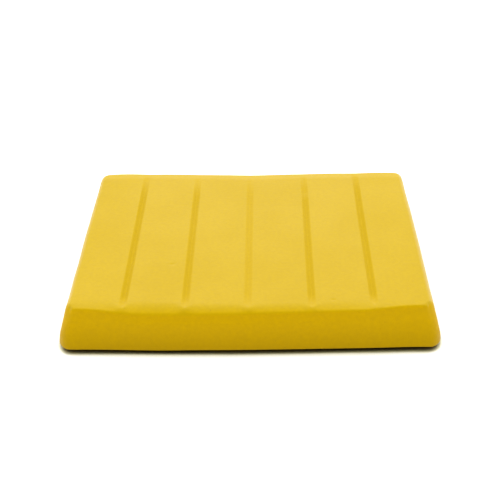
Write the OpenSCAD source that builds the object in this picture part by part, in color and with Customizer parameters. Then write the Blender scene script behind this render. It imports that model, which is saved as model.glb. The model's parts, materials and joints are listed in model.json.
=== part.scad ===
// Break-off clay bar for cleaning car paint: one pressed slab of soft clay, scored on top into
// finger-wide sticks. Under each score a web of clay is left, which the bar bends at and which
// is torn through to take a stick off.
// The origin is at the middle of the underside. X runs across the sticks, Y along them, Z up.
// Lengths are in millimetres.

/* [Sticks] */
// Number of sticks that the scores divide the bar into
stick_count = 6; // [3:1:10]
// Distance from the middle of one score to the middle of the next
stick_pitch = 14.7; // [10:0.1:20]
// How much further than one pitch each end stick's foot reaches, to make up for its leaning side
end_stick_extra = 0.9; // [0:0.1:3]
// Length of the sticks at the underside
stick_length = 70; // [50:1:100]
// Thickness of the bar
thickness = 11; // [9:0.5:14]

/* [Edges] */
// How far the sides lean in between the underside and the top face, so that the mould lets go
side_draft = 2.7; // [0.5:0.1:3]
// Radius of the upright corners at the underside
corner_radius = 5; // [5:0.1:8]
// Radius of the edge around the top face
top_edge_radius = 1.8; // [0.6:0.1:2.2]
// Radius of the edge around the underside
bottom_edge_radius = 1; // [0.4:0.1:1.6]

/* [Scores] */
// Width of the web of clay that joins two sticks
web_width = 2.6; // [2:0.1:2.8]
// Width of a score at its floor
score_floor_width = 1.4; // [0.6:0.1:1.8]
// Width of a score at its mouth
score_mouth_width = 3.2; // [3:0.1:5]
// Depth of a score below the top face
score_depth = 1.8; // [1:0.1:3]
// Distance from the bar's front edge to the front end of a score
score_front_margin = 6.9; // [5:0.1:12]
// Distance from the bar's back edge to the back end of a score
score_back_margin = 3.5; // [3:0.1:12]

/* [Colour] */
// Colour of the clay
clay_colour = "#e6c03a"; // ["#e6c03a":yellow, "#8db8d8":blue, "#b9bdc2":grey]

/* [Hidden] */
$fn = 64;
// How far a cutting shape reaches past the clay that it cuts
clearance = 1;
web_count = stick_count - 1;
bar_length = stick_count * stick_pitch + 2 * end_stick_extra;
side_angle = atan(side_draft / thickness);

// Middle of score i, which is between sticks i and i + 1
function score_x(i) = (i - stick_count / 2) * stick_pitch;

// Distance from a corner's axis to the middle of an edge's rounding, of radius r, at height z.
// The rounding of the bottom edge reaches as far out as the corner radius, and the leaning face
// touches every rounding.
function rounding_x(r, z) = corner_radius - bottom_edge_radius
    + (bottom_edge_radius - r) / cos(side_angle)
    - (z - bottom_edge_radius) * tan(side_angle);

// One side of the bar in section, from a corner's axis out to the leaning face
module edge_section() {
    bottom_x = rounding_x(bottom_edge_radius, bottom_edge_radius);
    top_z = thickness - top_edge_radius;
    top_x = rounding_x(top_edge_radius, top_z);
    face = [cos(side_angle), sin(side_angle)];
    intersection() {
        square([corner_radius, thickness]);
        union() {
            polygon([
                [0, 0],
                [bottom_x, 0],
                [bottom_x, bottom_edge_radius] + bottom_edge_radius * face,
                [top_x, top_z] + top_edge_radius * face,
                [top_x, thickness],
                [0, thickness],
            ]);
            translate([bottom_x, bottom_edge_radius]) circle(bottom_edge_radius);
            translate([top_x, top_z]) circle(top_edge_radius);
        }
    }
}

// The whole bar in section, where span is the distance between its corners' axes
module bar_section(span) {
    translate([-span / 2, 0]) square([span, thickness]);
    for (side = [0, 1])
        mirror([side, 0]) translate([span / 2, 0]) edge_section();
}

// The bar before it is scored: two crossing slabs with a turned post at each corner
module slab() {
    span_x = bar_length - 2 * corner_radius;
    span_y = stick_length - 2 * corner_radius;
    rotate([90, 0, 0])
        linear_extrude(span_y, center = true) bar_section(span_x);
    rotate([90, 0, 90])
        linear_extrude(span_x, center = true) bar_section(span_y);
    for (x = [-span_x / 2, span_x / 2], y = [-span_y / 2, span_y / 2])
        translate([x, y, 0]) rotate_extrude() edge_section();
}

// A score in section: a flat floor with walls that spread to the mouth
module score_section() {
    floor_z = thickness - score_depth;
    polygon([
        [-score_floor_width / 2, floor_z],
        [score_floor_width / 2, floor_z],
        [score_mouth_width / 2, thickness],
        [score_mouth_width / 2, thickness + clearance],
        [-score_mouth_width / 2, thickness + clearance],
        [-score_mouth_width / 2, thickness],
    ]);
}

// The space of score i, with both its ends turned round
module score(i) {
    front_y = -stick_length / 2 + score_front_margin + score_mouth_width / 2;
    back_y = stick_length / 2 - score_back_margin - score_mouth_width / 2;
    translate([score_x(i), 0, 0]) {
        translate([0, back_y, 0]) rotate([90, 0, 0])
            linear_extrude(back_y - front_y) score_section();
        for (y = [front_y, back_y])
            translate([0, y, 0]) rotate_extrude() intersection() {
                square([score_mouth_width, thickness + 2 * clearance]);
                score_section();
            }
    }
}

// The scored bar between two planes across X
module slice(from_x, to_x) {
    intersection() {
        difference() {
            slab();
            for (i = [1 : web_count])
                score(i);
        }
        translate([from_x, -stick_length, -clearance])
            cube([to_x - from_x, 2 * stick_length, thickness + 2 * clearance]);
    }
}

// Stick i, counted from the -X end. The end sticks run out to the bar's ends.
module stick(i) {
    from_x = i == 1 ? -bar_length : score_x(i - 1) + web_width / 2;
    to_x = i == stick_count ? bar_length : score_x(i) - web_width / 2;
    color(clay_colour) slice(from_x, to_x);
}

// The web of clay under score i, between sticks i and i + 1
module web(i) {
    color(clay_colour) slice(score_x(i) - web_width / 2, score_x(i) + web_width / 2);
}

for (i = [1 : stick_count])
    stick(i);
for (i = [1 : web_count])
    web(i);
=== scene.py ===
import json
import math

import bmesh
import bpy
import numpy as np
from mathutils import Matrix, Vector
from mathutils.kdtree import KDTree

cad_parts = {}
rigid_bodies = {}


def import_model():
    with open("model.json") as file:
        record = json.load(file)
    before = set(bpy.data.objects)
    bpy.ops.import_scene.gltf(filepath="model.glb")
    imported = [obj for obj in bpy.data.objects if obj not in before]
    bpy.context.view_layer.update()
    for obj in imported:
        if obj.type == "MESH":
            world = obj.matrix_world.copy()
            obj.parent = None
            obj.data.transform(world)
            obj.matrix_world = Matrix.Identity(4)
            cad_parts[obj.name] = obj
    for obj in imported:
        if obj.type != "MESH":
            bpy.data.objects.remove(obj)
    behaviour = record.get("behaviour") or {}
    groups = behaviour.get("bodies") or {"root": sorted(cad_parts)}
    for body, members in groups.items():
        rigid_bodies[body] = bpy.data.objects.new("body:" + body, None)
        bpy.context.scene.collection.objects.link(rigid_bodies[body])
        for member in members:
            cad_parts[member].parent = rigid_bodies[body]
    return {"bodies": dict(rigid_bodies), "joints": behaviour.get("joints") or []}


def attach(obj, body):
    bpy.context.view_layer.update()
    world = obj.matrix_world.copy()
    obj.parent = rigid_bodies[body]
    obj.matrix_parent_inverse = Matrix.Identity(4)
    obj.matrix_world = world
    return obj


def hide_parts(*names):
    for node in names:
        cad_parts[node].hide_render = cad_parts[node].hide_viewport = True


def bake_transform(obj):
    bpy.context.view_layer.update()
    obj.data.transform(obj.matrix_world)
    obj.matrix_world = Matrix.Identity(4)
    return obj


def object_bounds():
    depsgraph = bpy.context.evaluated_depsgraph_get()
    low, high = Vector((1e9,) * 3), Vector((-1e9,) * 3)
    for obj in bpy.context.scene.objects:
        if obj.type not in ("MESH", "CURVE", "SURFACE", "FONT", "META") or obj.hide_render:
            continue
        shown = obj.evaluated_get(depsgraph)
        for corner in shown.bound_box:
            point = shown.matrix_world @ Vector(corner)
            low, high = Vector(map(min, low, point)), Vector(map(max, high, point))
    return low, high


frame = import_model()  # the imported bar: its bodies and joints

cadLow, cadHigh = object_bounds()
scene = bpy.context.scene
mm = 0.001
barLength, barWidth, thickness = cadHigh - cadLow

# score lines from left to right, each between the stick on its left and the one on its right
joints = sorted(frame["joints"], key=lambda joint: joint["pos_m"][0])
scoreX = [joint["pos_m"][0] for joint in joints]
pitch = scoreX[1] - scoreX[0]
stickBodies = sorted(frame["bodies"])
print("frame:", len(stickBodies), "sticks,", len(joints), "scores")

cameraValues = {
    "distance": 248.57 * mm,
    "elevation": 33.24,  # degrees above the floor
    "turn": -1.25,
    "roll": -1.18,
    "target": (-0.09 * mm, 1.13 * mm, 5 * mm),
    "lens": 68.54,
}


def makeCamera(values):
    elevation, turn, roll = (math.radians(values[k]) for k in ("elevation", "turn", "roll"))
    level = math.cos(elevation)
    ahead = Vector((math.sin(turn) * level, math.cos(turn) * level, -math.sin(elevation)))
    sideways = Vector((math.cos(turn), -math.sin(turn), 0))
    upright = sideways.cross(ahead)
    right = sideways * math.cos(roll) + upright * math.sin(roll)
    top = upright * math.cos(roll) - sideways * math.sin(roll)
    camera = bpy.data.objects.new("camera", bpy.data.cameras.new("camera"))
    scene.collection.objects.link(camera)
    camera.data.lens = values["lens"]
    camera.data.clip_start = 0.01
    turned = Matrix((right, top, -ahead)).transposed().to_4x4()
    stand = Vector(values["target"]) - ahead * values["distance"]
    camera.matrix_world = Matrix.Translation(stand) @ turned
    scene.camera = camera


studio = {
    "softbox size": (1.5, 1.2),
    "softbox place": (0.0, 0.45, 0.8),
    "softbox power": 13.4,
    "front light": 1.0,  # the darker end of the room, which the camera stands in
    "back light": 1.45,  # the bright wall behind the bar
    "from, to": (-0.9, 0.7),  # where the room turns from one to the other
}


def makeStudio(values):
    lamp = bpy.data.lights.new("softbox", "AREA")
    lamp.shape = "RECTANGLE"
    lamp.size, lamp.size_y = values["softbox size"]
    lamp.energy = values["softbox power"]
    softbox = bpy.data.objects.new("softbox", lamp)
    scene.collection.objects.link(softbox)
    softbox.location = values["softbox place"]
    softbox.rotation_euler = (-Vector(values["softbox place"])).to_track_quat("-Z", "Y").to_euler()
    world = bpy.data.worlds.new("studio")
    scene.world = world
    world.use_nodes = True
    air = world.node_tree
    ahead = parts(air, air.nodes.new("ShaderNodeTexCoord").outputs["Generated"])[1]
    light = ease(ahead, *values["from, to"], values["front light"], values["back light"])
    feed(air, air.nodes["Background"].inputs["Strength"], light)
    air.nodes["Background"].inputs["Color"].default_value = (1, 1, 1, 1)
    scene.view_settings.view_transform = "Standard"


def feed(tree, plug, value):
    if isinstance(value, Num):
        tree.links.new(value.socket, plug)
    elif isinstance(value, bpy.types.NodeSocket):
        tree.links.new(value, plug)
    else:
        plug.default_value = value


# a number in a node tree; sums with it become Math nodes
class Num:
    def __init__(self, tree, socket):
        self.tree, self.socket = tree, socket

    def maths(self, operation, *others):
        node = self.tree.nodes.new("ShaderNodeMath")
        node.operation = operation
        for plug, value in zip(node.inputs, (self, *others)):
            feed(self.tree, plug, value)
        return Num(self.tree, node.outputs[0])

    def __add__(self, other):
        return self.maths("ADD", other)

    def __sub__(self, other):
        return self.maths("SUBTRACT", other)

    def __rsub__(self, other):
        return (self * -1).maths("ADD", other)

    def __mul__(self, other):
        return self.maths("MULTIPLY", other)

    def __truediv__(self, other):
        return self.maths("DIVIDE", other)

    def __pow__(self, other):
        return self.maths("POWER", other)

    def __abs__(self):
        return self.maths("ABSOLUTE")

    __radd__ = __add__
    __rmul__ = __mul__


def smaller(a, b):
    return a.maths("MINIMUM", b)


def bigger(a, b):
    return a.maths("MAXIMUM", b)


# from low at start to high at end, level at both
def ease(value, start, end, low=0.0, high=1.0):
    node = value.tree.nodes.new("ShaderNodeMapRange")
    node.interpolation_type = "SMOOTHSTEP"
    settings = {"Value": value, "From Min": start, "From Max": end, "To Min": low, "To Max": high}
    for label, number in settings.items():
        feed(value.tree, node.inputs[label], number)
    return Num(value.tree, node.outputs["Result"])


def parts(tree, vector):
    node = tree.nodes.new("ShaderNodeSeparateXYZ")
    feed(tree, node.inputs[0], vector)
    return [Num(tree, socket) for socket in node.outputs]


def joined(tree, *numbers):
    node = tree.nodes.new("ShaderNodeCombineXYZ")
    for plug, number in zip(node.inputs, numbers):
        feed(tree, plug, number)
    return node.outputs[0]


def vectorMaths(tree, operation, *vectors, output=0, **settings):
    node = tree.nodes.new("ShaderNodeVectorMath")
    node.operation = operation
    for plug, value in zip(node.inputs, vectors):
        feed(tree, plug, value)
    for label, value in settings.items():
        feed(tree, node.inputs[label], value)
    return node.outputs[output]


# a node group with named sockets; returns it with its inputs as Nums
def newGroup(name, kind, inputs, outputs):
    tree = bpy.data.node_groups.new(name, kind)
    for label, socketType in inputs.items():
        tree.interface.new_socket(name=label, in_out="INPUT", socket_type="NodeSocket" + socketType)
    for label, socketType in outputs.items():
        tree.interface.new_socket(name=label, in_out="OUTPUT", socket_type="NodeSocket" + socketType)
    start = tree.nodes.new("NodeGroupInput")
    return tree, {socket.name: Num(tree, socket) for socket in start.outputs if socket.name}


def giveOut(tree, **results):
    end = tree.nodes.new("NodeGroupOutput")
    for label, value in results.items():
        feed(tree, end.inputs[label.replace("_", " ")], value)


def useGroup(tree, group, **values):
    node = tree.nodes.new("GeometryNodeGroup")
    node.node_tree = group
    for label, value in values.items():
        feed(tree, node.inputs[label.replace("_", " ")], value)
    return node


# the clay bar is one pressed slab, whose shape follows a rule
slabValues = {
    "Corner Radius": 3.0 * mm,  # upright corners at the foot
    "Side Draft": 2.7 * mm,  # how far the sides lean in on the way up
    "Front Draft": 2.2 * mm,
    "Leaning Zone": 8.0 * mm,  # the clay that makes room for the lean
    "Top Radius": 1.6 * mm,
    "Front Radius": 0.5 * mm,  # of the top edge along the front, where a blade cut it
    "Bottom Radius": 0.45 * mm,
    "Score Depth": 0.75 * mm,
    "Score Mouth": 1.95 * mm,
    "Crown": 0.05 * mm,  # how much the sticks' middles stand above the scores' lips
    "Waviness": 0.08 * mm,
    "Waviness Size": 17 * mm,
    "Seed": 4.0,
}
# per score: how far it is off its line in mm, its slant in degrees, its share of the full depth, where it
# starts behind the front edge and ends before the back one in mm, what is left of it at the back rim, and a
# bridge of clay that closes part of it
scoreValues = [
    {"shift": 0.21, "slant": -0.32, "depth": 0.8, "front": 4.9, "back": 5.0,
     "dip": 0.20, "bridge": 0.0, "bridge at": 0.0},
    {"shift": -0.02, "slant": -0.11, "depth": 0.74, "front": 5.1, "back": 5.3,
     "dip": 0.05, "bridge": 0.0, "bridge at": 0.0},
    {"shift": -0.18, "slant": 0.03, "depth": 0.5, "front": 4.9, "back": 5.6,
     "dip": 0.04, "bridge": 0.1, "bridge at": 12.0},
    {"shift": 0.01, "slant": 0.20, "depth": 0.74, "front": 4.8, "back": 4.9,
     "dip": 0.15, "bridge": 0.3, "bridge at": 19.0},
    {"shift": -0.32, "slant": 0.33, "depth": 0.8, "front": 5.2, "back": 3.6,
     "dip": 0.25, "bridge": 0.0, "bridge at": 0.0},
]
# how a score fades out: from before to after its front end and its back end, and on each side of a bridge
scoreFades = {
    "front": (3.5 * mm, 4.0 * mm),
    "back": (12.0 * mm, 2.0 * mm),
    "bridge": 3.0 * mm,
    "foot": 0.05 * mm,  # rounding at the bottom of the V
    "lip": 0.12,  # rounding at its lips, as a share of the depth
}
# per stick, in mm: how far its front rim is pressed down, how much further back than beside a score the
# slope reaches, and how high its edge hovers
rimValues = [
    {"drop": 0.30, "run": 1.8, "hover": 1.15},
    {"drop": 1.15, "run": 2.0, "hover": 0.96},
    {"drop": 0.95, "run": 1.4, "hover": 1.12},
    {"drop": 0.75, "run": 1.2, "hover": 1.12},
    {"drop": 0.50, "run": 1.6, "hover": 1.08},
    {"drop": 0.05, "run": 0.6, "hover": 1.20},
]
edgeValues = {
    "least run": 1.9 * mm,  # how far back a pressed rim reaches beside a score
    "steepest": 1.3,
    "back reach": 5.0 * mm,  # the back rim falls off a little too
    "back drop": 0.5 * mm,
    "blend": 0.15 * mm,  # between a score and a pressed rim
    "press depth": 4.0 * mm,  # how far under the top face the clay gives way
    "hover": (0.4 * mm, 12.0 * mm),  # from the edge to where the underside lies flat
    "free": (4.0 * mm, 12.0 * mm),  # past the outer scores, where clay may move sideways
}
# swellings and nicks: middle, radius and push, in mm
marks = [
    {"middle": (-4, -33, 9), "radius": 34, "push": (0, -0.5, 0)},
    {"middle": (-40, -33, 12), "radius": 13, "push": (0, 0.9, 0.1)},
    {"middle": (39, -33, 12), "radius": 14, "push": (0, 1.0, 0.15)},
    {"middle": (-43.6, -34.4, 10.5), "radius": 5.0, "push": (0.2, 0.2, -1.7)},
    {"middle": (43.6, -34.4, 10.5), "radius": 5.0, "push": (-0.2, 0.2, -1.8)},
    {"middle": (-45, -34, 0), "radius": 5, "push": (0.7, 0.1, 0.15)},
    {"middle": (45, -34, 0), "radius": 5, "push": (-0.6, 0.1, 0.0)},
    {"middle": (-45, -26, 9), "radius": 10, "push": (0.25, 0, 0)},
    {"middle": (-38, 34, 10), "radius": 12, "push": (-0.1, 0.2, 0.3)},
    {"middle": (38, 34, 10), "radius": 12, "push": (0.1, 0.2, 0.2)},
    {"middle": (45, 0, 11), "radius": 42, "push": (0.22, 0, 0)},
    {"middle": (-45, -12, 2), "radius": 14, "push": (0.28, 0, 0)},
    {"middle": (-26, 32, 10), "radius": 30, "push": (0, 0.5, 0.3)},
    {"middle": (26, 32, 10), "radius": 30, "push": (0, 0.45, 0.1)},
    {"middle": (0.7, -34.6, 0.2), "radius": 0.9, "push": (0.0, 0.5, 0.8)},
    {"middle": (-19.0, -14.0, 11.0), "radius": 0.55, "push": (0.0, 0.0, -0.22)},
    {"middle": (-18.3, -13.8, 11.0), "radius": 0.45, "push": (0.0, 0.0, -0.15)},
    {"middle": (19.6, -29.2, 11.0), "radius": 0.6, "push": (0.0, 0.0, -0.16)},
]
# where the dried bloom lies, from and to: depths under the top face, and distances behind the front rim
bloomValues = {
    "top": (0.5 * mm, 0.05 * mm),
    "facet": (0.4 * mm, 0.05 * mm),
    "rounding": (2.6 * mm, 0.6 * mm),
    "top starts": (0.0, 0.9 * mm),
    "rounding starts": (0.5 * mm, 4.0 * mm),
    "pressed off": (0.2 * mm, 0.8 * mm),  # a rim pressed down further has none
}
grid = {"rows": 200, "layers": 32, "stick columns": 24, "end columns": 36, "score columns": 28}
bendZone = 6.6 * mm  # width of the clay that bends at a score

slabShape = (
    "Corner Radius", "Side Draft", "Front Draft", "Leaning Zone",
    "Top Radius", "Front Radius", "Bottom Radius",
)


# an upright box becomes the slab: turned corners, rounded edges and leaning sides
def slabGroup():
    tree, given = newGroup(
        "leaningSlab",
        "GeometryNodeTree",
        {"Place": "Vector", **{label: "Float" for label in ("Length", "Width", "Thickness", *slabShape)}},
        {"Place": "Vector", "Edge": "Float"},
    )
    x, y, z = parts(tree, given["Place"])
    corner, high = given["Corner Radius"], given["Thickness"]
    halfX, halfY = given["Length"] * 0.5, given["Width"] * 0.5
    inX = bigger(smaller(x, halfX - corner), corner - halfX)
    inY = bigger(smaller(y, halfY - corner), corner - halfY)
    offX, offY = x - inX, y - inY
    outward = vectorMaths(tree, "NORMALIZE", joined(tree, offX, offY, 0.0))
    reach = bigger(abs(offX), abs(offY))
    # the edge's rounding, in the section along outward
    frontness = ease(parts(tree, outward)[1] * -1, 0.85, 1.0)
    top = given["Top Radius"] + (given["Front Radius"] - given["Top Radius"]) * frontness
    bottom = given["Bottom Radius"]
    radius = bottom + (top - bottom) * z.maths("GREATER_THAN", high * 0.5)
    heldReach = smaller(reach, corner - radius)
    heldZ = bigger(smaller(z, high - top), bottom)
    pastReach, pastZ = reach - heldReach, z - heldZ
    past = (pastReach * pastReach + pastZ * pastZ) ** 0.5
    pull = smaller(radius / bigger(past, 1e-6), 1.0)
    newZ = heldZ + pastZ * pull
    outward = vectorMaths(tree, "SCALE", outward, Scale=heldReach + pastReach * pull)
    x, y, _ = parts(tree, vectorMaths(tree, "ADD", joined(tree, inX, inY, 0.0), outward))
    # the leaning zone along the sides is squeezed more and more on the way up
    zone = given["Leaning Zone"]
    squeezeX = 1.0 - given["Side Draft"] * newZ / (high * zone)
    draftY = given["Side Draft"] + (given["Front Draft"] - given["Side Draft"]) * y.maths("LESS_THAN", 0.0)
    squeezeY = 1.0 - draftY * newZ / (high * zone)
    inX = bigger(smaller(x, halfX - zone), zone - halfX)
    inY = bigger(smaller(y, halfY - zone), zone - halfY)
    place = joined(tree, inX + (x - inX) * squeezeX, inY + (y - inY) * squeezeY, newZ)
    giveOut(tree, Place=place, Edge=smaller(pastReach, bigger(pastZ, 0.0)) / radius)
    return tree


# how deep one score is at a place, from 0 to 1
def scoreGroup():
    tree, given = newGroup(
        "pressedScore",
        "GeometryNodeTree",
        {"Place": "Vector", "Middle": "Float", "Slant": "Float", "Depth": "Float", "Mouth": "Float",
         "Front": "Float", "Back": "Float", "Back Dip": "Float", "Bridge": "Float", "Bridge At": "Float"},
        {"Share": "Float", "Pressed": "Float"},
    )
    x, y, _ = parts(tree, given["Place"])
    off = abs(x - given["Middle"] - y * given["Slant"])
    off = (off * off + scoreFades["foot"] ** 2) ** 0.5 / (given["Mouth"] * 0.5)
    before, after = scoreFades["front"]
    front = ease(y, given["Front"] - before, given["Front"] + after)
    before, after = scoreFades["back"]
    back = ease(y, given["Back"] - before, given["Back"] + after, 1.0, 0.0)
    back = given["Back Dip"] + (1.0 - given["Back Dip"]) * back
    bridge = 1.0 - given["Bridge"] * ease(abs(y - given["Bridge At"]), 0.0, scoreFades["bridge"], 1.0, 0.0)
    depth = front * back * bridge * given["Depth"]
    share = (1.0 - off).maths("SMOOTH_MAX", 0.0, scoreFades["lip"])
    giveOut(tree, Share=share * depth, Pressed=ease(off, 0.85, 1.1, 1.0, 0.0) * depth)
    return tree


# what one stick adds to the pressed-down front rim and to the hovering edge of the underside
def rimGroup():
    tree, given = newGroup(
        "pressedRim",
        "GeometryNodeTree",
        {"Place": "Vector", "Middle": "Float", "Pitch": "Float", "Stick Drop": "Float",
         "Stick Run": "Float", "Stick Hover": "Float"},
        {"Drop": "Float", "Run": "Float", "Hover": "Float"},
    )
    off = abs(parts(tree, given["Place"])[0] - given["Middle"]) / given["Pitch"]
    near = ease(off, 0.0, 1.0, 1.0, 0.0)
    run = given["Stick Run"] * ease(off, 0.32, 0.5, 1.0, 0.0)
    giveOut(tree, Drop=given["Stick Drop"] * near, Run=run, Hover=given["Stick Hover"] * near)
    return tree


# a swelling, a dent or a nick
def markGroup():
    tree, given = newGroup(
        "smallMark",
        "GeometryNodeTree",
        {"Place": "Vector", "Middle": "Vector", "Radius": "Float", "Push": "Vector", "Free": "Vector"},
        {"Place": "Vector"},
    )
    far = Num(tree, vectorMaths(tree, "DISTANCE", given["Place"], given["Middle"], output=1))
    push = vectorMaths(tree, "SCALE", given["Push"], Scale=ease(far / given["Radius"], 0.0, 1.0, 1.0, 0.0))
    push = vectorMaths(tree, "MULTIPLY", push, given["Free"])
    giveOut(tree, Place=vectorMaths(tree, "ADD", given["Place"], push))
    return tree


def noiseVector(tree, place, size, seed, detail):
    node = tree.nodes.new("ShaderNodeTexNoise")
    node.noise_dimensions = "4D"
    feed(tree, node.inputs["Vector"], vectorMaths(tree, "SCALE", place, Scale=size ** -1.0))
    feed(tree, node.inputs["W"], seed)
    node.inputs["Scale"].default_value = 1.0
    node.inputs["Detail"].default_value = detail
    return vectorMaths(tree, "SUBTRACT", node.outputs["Color"], (0.5, 0.5, 0.5))


def clayTree():
    floats = ["From X", "To X", "Length", "Width", "Thickness", *slabValues]
    tree, given = newGroup(
        "scoredClay",
        "GeometryNodeTree",
        {"Columns": "Int", "Rows": "Int", "Layers": "Int", **{label: "Float" for label in floats},
         "Clay": "Material"},
        {"Clay Piece": "Geometry"},
    )
    fromX, toX, high = given["From X"], given["To X"], given["Thickness"]
    block = tree.nodes.new("GeometryNodeMeshCube")
    feed(tree, block.inputs["Size"], joined(tree, toX - fromX, given["Width"], high))
    for axis, label in zip("XYZ", ("Columns", "Rows", "Layers")):
        feed(tree, block.inputs["Vertices " + axis], given[label] + 1.0)
    place = vectorMaths(
        tree, "ADD", tree.nodes.new("GeometryNodeInputPosition").outputs[0],
        joined(tree, (fromX + toX) * 0.5, 0.0, high * 0.5),
    )
    slab = useGroup(
        tree, slabGroup(), Place=place, Length=given["Length"], Width=given["Width"], Thickness=high,
        **{label.replace(" ", "_"): given[label] for label in slabShape},
    )
    place, edge = slab.outputs["Place"], Num(tree, slab.outputs["Edge"])
    x, y, z = parts(tree, place)
    boxZ = z

    score, share, pressed = scoreGroup(), None, None
    for middle, values in zip(scoreX, scoreValues):
        node = useGroup(
            tree, score, Place=place, Mouth=given["Score Mouth"],
            Middle=middle + values["shift"] * mm, Slant=math.radians(values["slant"]), Depth=values["depth"],
            Front=values["front"] * mm - barWidth / 2, Back=barWidth / 2 - values["back"] * mm,
            Back_Dip=values["dip"], Bridge=values["bridge"], Bridge_At=values["bridge at"] * mm,
        )
        one, two = Num(tree, node.outputs["Share"]), Num(tree, node.outputs["Pressed"])
        share, pressed = (one, two) if share is None else (share + one, pressed + two)

    rim, sums = rimGroup(), None
    endMiddle = scoreX[-1] + pitch / 2
    held = joined(tree, bigger(smaller(x, endMiddle), -endMiddle), y, z)
    for number, values in enumerate(rimValues):
        node = useGroup(
            tree, rim, Place=held, Middle=scoreX[0] + (number - 0.5) * pitch, Pitch=pitch,
            Stick_Drop=values["drop"] * mm, Stick_Run=values["run"] * mm, Stick_Hover=values["hover"] * mm,
        )
        one = [Num(tree, node.outputs[label]) for label in ("Drop", "Run", "Hover")]
        sums = one if sums is None else [a + b for a, b in zip(sums, one)]
    drop, run, hover = sums
    run = run + edgeValues["least run"]
    frontRim = given["Front Draft"] - given["Width"] * 0.5
    slope = bigger(1.0 - (y - frontRim) / run, 0.0)
    rimPress = smaller(slope, edgeValues["steepest"]) ** 2.0
    backRim = given["Width"] * 0.5 - given["Side Draft"]
    backPress = ease(y, backRim - edgeValues["back reach"], backRim)
    rimDrop = drop * rimPress + backPress * edgeValues["back drop"]

    # the sticks are crowned a little between the scores
    crown = ((x - scoreX[2]) / pitch).maths("FRACT")
    crown = abs(crown - 0.5) * 2.0
    crown = crown * crown * given["Crown"] * ease(abs(x), endMiddle, scoreX[-1] + pitch, 1.0, 0.0)
    sunk = (share * given["Score Depth"]).maths("SMOOTH_MAX", rimDrop, edgeValues["blend"]) + crown
    onTop = ease(z, high - edgeValues["press depth"], high)
    # the edge of the underside hovers over the floor, the more the nearer to the rim
    gap = smaller(given["Length"] * 0.5 - abs(x), given["Width"] * 0.5 - abs(y))
    hover = hover * ease(gap, *edgeValues["hover"], 1.0, 0.0) * (1.0 - z / high)
    place = joined(tree, x, y, z - sunk * onTop + hover)

    # hand-warm clay is never quite flat; the underside and the planes between pieces stay put
    fineSize, fineShare = 0.22, 0.16  # the smaller waves, as shares of the large ones
    wave = noiseVector(tree, place, given["Waviness Size"], given["Seed"], 1.0)
    fine = noiseVector(tree, place, given["Waviness Size"] * fineSize, given["Seed"] + 7.0, 2.0)
    wave = vectorMaths(tree, "ADD", wave, vectorMaths(tree, "SCALE", fine, Scale=fineShare))
    x, y, z = parts(tree, place)
    ends = ease(abs(x), *[scoreX[-1] + past for past in edgeValues["free"]])
    wave = vectorMaths(tree, "MULTIPLY", wave, joined(tree, ends, 1.0, ease(z, 0.4 * mm, 4.0 * mm)))
    place = vectorMaths(tree, "ADD", place, vectorMaths(tree, "SCALE", wave, Scale=given["Waviness"] * 2.0))
    dent = markGroup()
    for values in marks:
        node = useGroup(
            tree, dent, Place=place, Middle=Vector(values["middle"]) * mm, Radius=values["radius"] * mm,
            Push=Vector(values["push"]) * mm, Free=joined(tree, ends, 1.0, 1.0),
        )
        place = node.outputs["Place"]

    # the open face of the clay has dried to a pale bloom, except where it was pressed
    def under(label):
        return ease(boxZ, *[high - depth for depth in bloomValues[label]])

    def behind(label):
        return ease(y, *[frontRim + distance for distance in bloomValues[label]])

    topness = under("facet")
    facet = ease(rimPress, 0.0, 0.8) * ease(drop, *bloomValues["pressed off"])
    bloom = bigger(under("top") * behind("top starts"), under("rounding") * behind("rounding starts"))
    bloom = bloom * (1.0 - facet) * (1.0 - pressed)
    shape = block.outputs["Mesh"]
    for label, kind, value in (
        ("restPlace", "FLOAT_VECTOR", place),
        ("rubbed", "FLOAT", smaller(edge * 1.6, 1.0)),
        ("bloom", "FLOAT", bloom),
        ("topness", "FLOAT", topness),
        ("scored", "FLOAT", pressed * topness),
    ):
        store = tree.nodes.new("GeometryNodeStoreNamedAttribute")
        store.data_type = kind
        store.inputs["Name"].default_value = label
        feed(tree, store.inputs["Geometry"], shape)
        feed(tree, store.inputs["Value"], value)
        shape = store.outputs["Geometry"]
    for kind, label, value in (
        ("GeometryNodeSetPosition", "Position", place),
        ("GeometryNodeSetShadeSmooth", "Shade Smooth", True),
        ("GeometryNodeRealizeInstances", None, None),
        ("GeometryNodeSetMaterial", "Material", given["Clay"]),
    ):
        node = tree.nodes.new(kind)
        feed(tree, node.inputs[0], shape)
        if label:
            feed(tree, node.inputs[label], value)
        shape = node.outputs[0]
    giveOut(tree, Clay_Piece=shape)
    return tree


def makeClayPiece(name, tree, clay, fromX, toX, columns):
    holder = bpy.data.objects.new(name + "Maker", bpy.data.meshes.new("empty"))
    scene.collection.objects.link(holder)
    maker = holder.modifiers.new("maker", "NODES")
    maker.node_group = tree
    values = {
        "From X": fromX, "To X": toX, "Columns": columns, "Rows": grid["rows"], "Layers": grid["layers"],
        "Length": barLength, "Width": barWidth, "Thickness": thickness, "Clay": clay, **slabValues,
    }
    for item in tree.interface.items_tree:
        if item.item_type == "SOCKET" and item.in_out == "INPUT":
            maker[item.identifier] = values[item.name]
    bpy.context.view_layer.update()
    depsgraph = bpy.context.evaluated_depsgraph_get()
    shaped = holder.evaluated_get(depsgraph)
    mesh = bpy.data.meshes.new_from_object(shaped, preserve_all_data_layers=True, depsgraph=depsgraph)
    bpy.data.objects.remove(holder)
    mesh.name = name
    piece = bpy.data.objects.new(name, mesh)
    scene.collection.objects.link(piece)
    return piece


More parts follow.
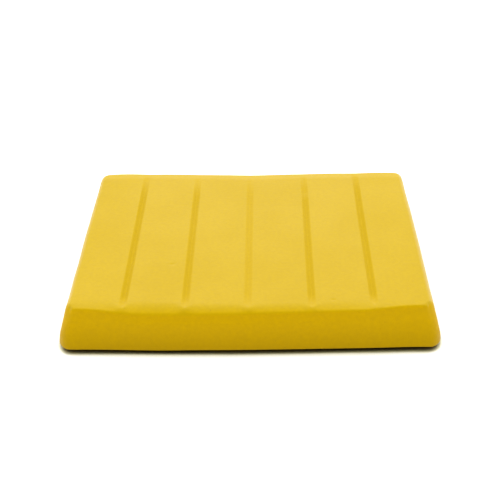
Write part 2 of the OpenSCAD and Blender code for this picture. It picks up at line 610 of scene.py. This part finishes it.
# the flat face where a piece meets its neighbour needs no grid, so it becomes one face
def mergeWall(piece, wallX):
    shell = bmesh.new()
    shell.from_mesh(piece.data)
    wall = [f for f in shell.faces if all(abs(v.co.x - wallX) < 1e-6 for v in f.verts)]
    bmesh.ops.dissolve_faces(shell, faces=wall, use_verts=True)
    shell.to_mesh(piece.data)
    shell.free()


# shading runs on over the planes between pieces, because both sides of a plane get the same normals
def shadeAcross(row):
    sums = []
    for piece, _ in row:
        mesh = piece.data
        places = np.empty(len(mesh.vertices) * 3, np.float32)
        mesh.vertices.foreach_get("co", places)
        places = places.reshape(-1, 3).astype(float)
        total = np.zeros_like(places)
        outer = np.array([f.loop_total == 4 for f in mesh.polygons])
        corners = np.array([list(f.vertices) for f in mesh.polygons if f.loop_total == 4])
        first, second, third, fourth = (places[corners[:, k]] for k in range(4))
        across = np.cross(third - first, fourth - second)
        for k in range(4):
            np.add.at(total, corners[:, k], across)
        sums.append((places, total, outer))
    for left, right in zip(range(len(row) - 1), range(1, len(row))):
        wallX = row[left][1][1]
        (placesA, totalA, _), (placesB, totalB, _) = sums[left], sums[right]
        ringA = np.flatnonzero(abs(placesA[:, 0] - wallX) < 1e-6)
        ringB = np.flatnonzero(abs(placesB[:, 0] - wallX) < 1e-6)
        near = KDTree(len(ringB))
        for k, index in enumerate(ringB):
            near.insert(placesB[index], k)
        near.balance()
        for index in ringA:
            _, k, _ = near.find(placesA[index])
            both = totalA[index] + totalB[ringB[k]]
            totalA[index] = totalB[ringB[k]] = both
    for (piece, _), (_, total, outer) in zip(row, sums):
        total /= np.linalg.norm(total, axis=1)[:, None]
        normals = []
        for face, isOuter in zip(piece.data.polygons, outer):
            face.use_smooth = bool(isOuter)
            normals += [total[v] if isOuter else face.normal for v in face.vertices]
        piece.data.normals_split_custom_set([tuple(n) for n in normals])


clayColours = {
    "bloom": (0.435, 0.290, 0.002, 1),  # the open top, which has dried
    "dull bloom": (0.425, 0.282, 0.001, 1),  # blotches in it
    "side": (0.50, 0.303, 0.0001, 1),  # the sides at the top rim, and at the foot below; brighter and deeper yellow than the top, as painted fill and inter-reflected light on the shaded sides
    # painted shade: the sides darken to this colour towards the floor
    "foot": (0.395, 0.237, 0.0001, 1),
    "facet": (0.46, 0.295, 0.0005, 1),  # the pressed front rim
    # painted shade: the scores darker and deeper yellow, for the shade and inter-reflection in them
    "score": (0.42, 0.275, 0.0005, 1),
    "speck": (0.24, 0.14, 0.007, 1),
}
claySkin = {
    "blotch size": 14 * mm,
    "mottle size": 0.9 * mm,
    "grain size": 0.22 * mm,
    "speck size": 0.5 * mm,
    "mottle": 0.12,  # how far the mottling and the specks go towards the speck colour
    "specks": 0.35,
    "foot height": 9 * mm,
    "driest": (22 * mm, 40 * mm),  # from the middle of the bar to where the bloom is thinner
    "roughness": 0.5,
    "bloom veil": 0.03,
    "dry veil": 0.035,
    "rim veil": 0.13,
    "shine": 0.28,
    "score shine": 0.08,
    "bump": 0.07 * mm,
}


def nodeOf(tree, kind, **values):
    node = tree.nodes.new(kind)
    for label, value in values.items():
        feed(tree, node.inputs[label.replace("_", " ")], value)
    return node


def shaderNoise(tree, place, size, detail=2.0, roughness=0.5):
    node = nodeOf(tree, "ShaderNodeTexNoise", Vector=place, Scale=1 / size, Detail=detail)
    node.inputs["Roughness"].default_value = roughness
    return Num(tree, node.outputs[0])


def mixColour(tree, share, first, second):
    node = tree.nodes.new("ShaderNodeMix")
    node.data_type = "RGBA"
    feed(tree, node.inputs[0], share)
    feed(tree, node.inputs[6], first)
    feed(tree, node.inputs[7], second)
    return node.outputs[2]


def makeClay(colours, values):
    clay = bpy.data.materials.new("waxyClay")
    clay.use_nodes = True
    tree = clay.node_tree
    skin = tree.nodes["Principled BSDF"]

    def attribute(label):
        node = tree.nodes.new("ShaderNodeAttribute")
        node.attribute_name = label
        return node

    place = attribute("restPlace").outputs["Vector"]
    rubbed = Num(tree, attribute("rubbed").outputs["Fac"])
    bloom = Num(tree, attribute("bloom").outputs["Fac"])
    topness = Num(tree, attribute("topness").outputs["Fac"])
    scored = ease(Num(tree, attribute("scored").outputs["Fac"]), 0.0, 1.0)
    blotch = shaderNoise(tree, place, values["blotch size"], 2.0, 0.55)
    mottle = shaderNoise(tree, place, values["mottle size"], 3.0, 0.6)
    grain = shaderNoise(tree, place, values["grain size"], 2.0, 0.6)
    specks = shaderNoise(tree, place, values["speck size"], 1.0, 0.5)
    across, _, height = parts(tree, place)
    # painted shade: the sides grow darker towards the floor over the foot's height
    side = mixColour(tree, ease(height, 0.0, values["foot height"]), colours["foot"], colours["side"])
    side = mixColour(tree, topness, side, colours["facet"])
    # painted shade in the scores
    side = mixColour(tree, scored, side, colours["score"])
    top = mixColour(tree, ease(blotch, 0.35, 0.65), colours["bloom"], colours["dull bloom"])
    # the side colours are painted light: brighter and deeper yellow than the top, for the fill and
    # inter-reflection the shaded sides get
    colour = mixColour(tree, bloom, side, top)
    colour = mixColour(tree, ease(mottle, 0.3, 0.7) * values["mottle"], colour, colours["speck"])
    colour = mixColour(tree, ease(specks, 0.74, 0.80) * values["specks"], colour, colours["speck"])
    feed(tree, skin.inputs["Base Color"], colour)
    feed(tree, skin.inputs["Roughness"], values["roughness"] + blotch * 0.12 + mottle * 0.08)
    # the bloom veils the colour, most of all in the middle of the bar and on its rounded rims
    dry = ease(abs(across), *values["driest"], 1.0, 0.0)
    veil = values["bloom veil"] + dry * values["dry veil"] + mottle * 0.08 + rubbed * values["rim veil"]
    feed(tree, skin.inputs["Sheen Weight"], bloom * veil)
    skin.inputs["Sheen Roughness"].default_value = 0.5
    shine = values["shine"] - scored * (values["shine"] - values["score shine"])
    feed(tree, skin.inputs["Specular IOR Level"], shine)
    skin.inputs["Specular Tint"].default_value = (1, 0.8, 0.05, 1)
    bumps = nodeOf(tree, "ShaderNodeBump", Height=mottle * 0.7 + grain * 0.3, Strength=1.0)
    bumps.inputs["Distance"].default_value = values["bump"]
    feed(tree, skin.inputs["Normal"], bumps.outputs["Normal"])
    skin.inputs["Diffuse Roughness"].default_value = 0.3
    skin.inputs["IOR"].default_value = 1.42
    return clay


floorValues = {
    "size": 6.0,
    "cloud size": 0.08,
    "pale": (0.93, 0.93, 0.93, 1),
    "paler": (0.95, 0.95, 0.95, 1),
    "contact reach": 2.5 * mm,
    "contact tint": (0.78, 0.75, 0.42, 1),  # painted bounce light: the clay's yellow thrown onto the floor beside it
    "contact dark": (0.035, 0.025, 0.001, 1),  # painted shadow in the gap under the hovering edge
}


def makeFloor(values):
    sheet = bmesh.new()
    bmesh.ops.create_grid(sheet, x_segments=4, y_segments=4, size=values["size"] / 2)
    mesh = bpy.data.meshes.new("floor")
    sheet.to_mesh(mesh)
    sheet.free()
    floor = bpy.data.objects.new("floor", mesh)
    scene.collection.objects.link(floor)
    paint = bpy.data.materials.new("paleFloor")
    paint.use_nodes = True
    tree = paint.node_tree
    place = tree.nodes.new("ShaderNodeTexCoord").outputs["Object"]
    cloud = shaderNoise(tree, place, values["cloud size"])
    colour = mixColour(tree, cloud, values["pale"], values["paler"])
    # painted shadow: the floor turns yellow and then dark where ambient occlusion finds the bar close by
    near = nodeOf(tree, "ShaderNodeAmbientOcclusion", Distance=values["contact reach"])
    openness = Num(tree, near.outputs["AO"])
    colour = mixColour(tree, ease(openness, 0.5, 0.95), values["contact tint"], colour)
    colour = mixColour(tree, ease(openness, 0.3, 0.8), values["contact dark"], colour)
    skin = tree.nodes["Principled BSDF"]
    feed(tree, skin.inputs["Base Color"], colour)
    feed(tree, skin.inputs["Roughness"], 0.7 + cloud * 0.1)
    skin.inputs["Specular IOR Level"].default_value = 0.2
    mesh.materials.append(paint)


makeCamera(cameraValues)
makeStudio(studio)
makeFloor(floorValues)
print("studio ready")

clay = makeClay(clayColours, claySkin)
tree = clayTree()
edges = [cadLow.x] + [x + side * bendZone / 2 for x in scoreX for side in (-1, 1)] + [cadHigh.x]
row = []
for k, (fromX, toX) in enumerate(zip(edges, edges[1:])):
    isScore = k % 2 == 1
    number = k // 2 + 1
    name = f"score_{number}_clay" if isScore else f"stick_{number}_clay"
    columns = grid["score columns"] if isScore else grid["stick columns"]
    if k in (0, len(edges) - 2):
        columns = grid["end columns"]
    piece = makeClayPiece(name, tree, clay, fromX, toX, columns)
    for wallX in (fromX, toX):
        if abs(wallX) < cadHigh.x - mm:  # not the bar's own ends
            mergeWall(piece, wallX)
    row.append((piece, (fromX, toX)))
shadeAcross(row)
for k, (piece, (fromX, toX)) in enumerate(row):
    number = k // 2 + 1
    if k % 2:
        f"stick_{number + 1}"
        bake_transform(piece)
        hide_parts(f"web_{number}")
    else:
        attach(piece, f"stick_{number}")
        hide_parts(f"stick_{number}")
print("clay bar:", len(row), "pieces,", sum(len(piece.data.polygons) for piece, _ in row), "faces")
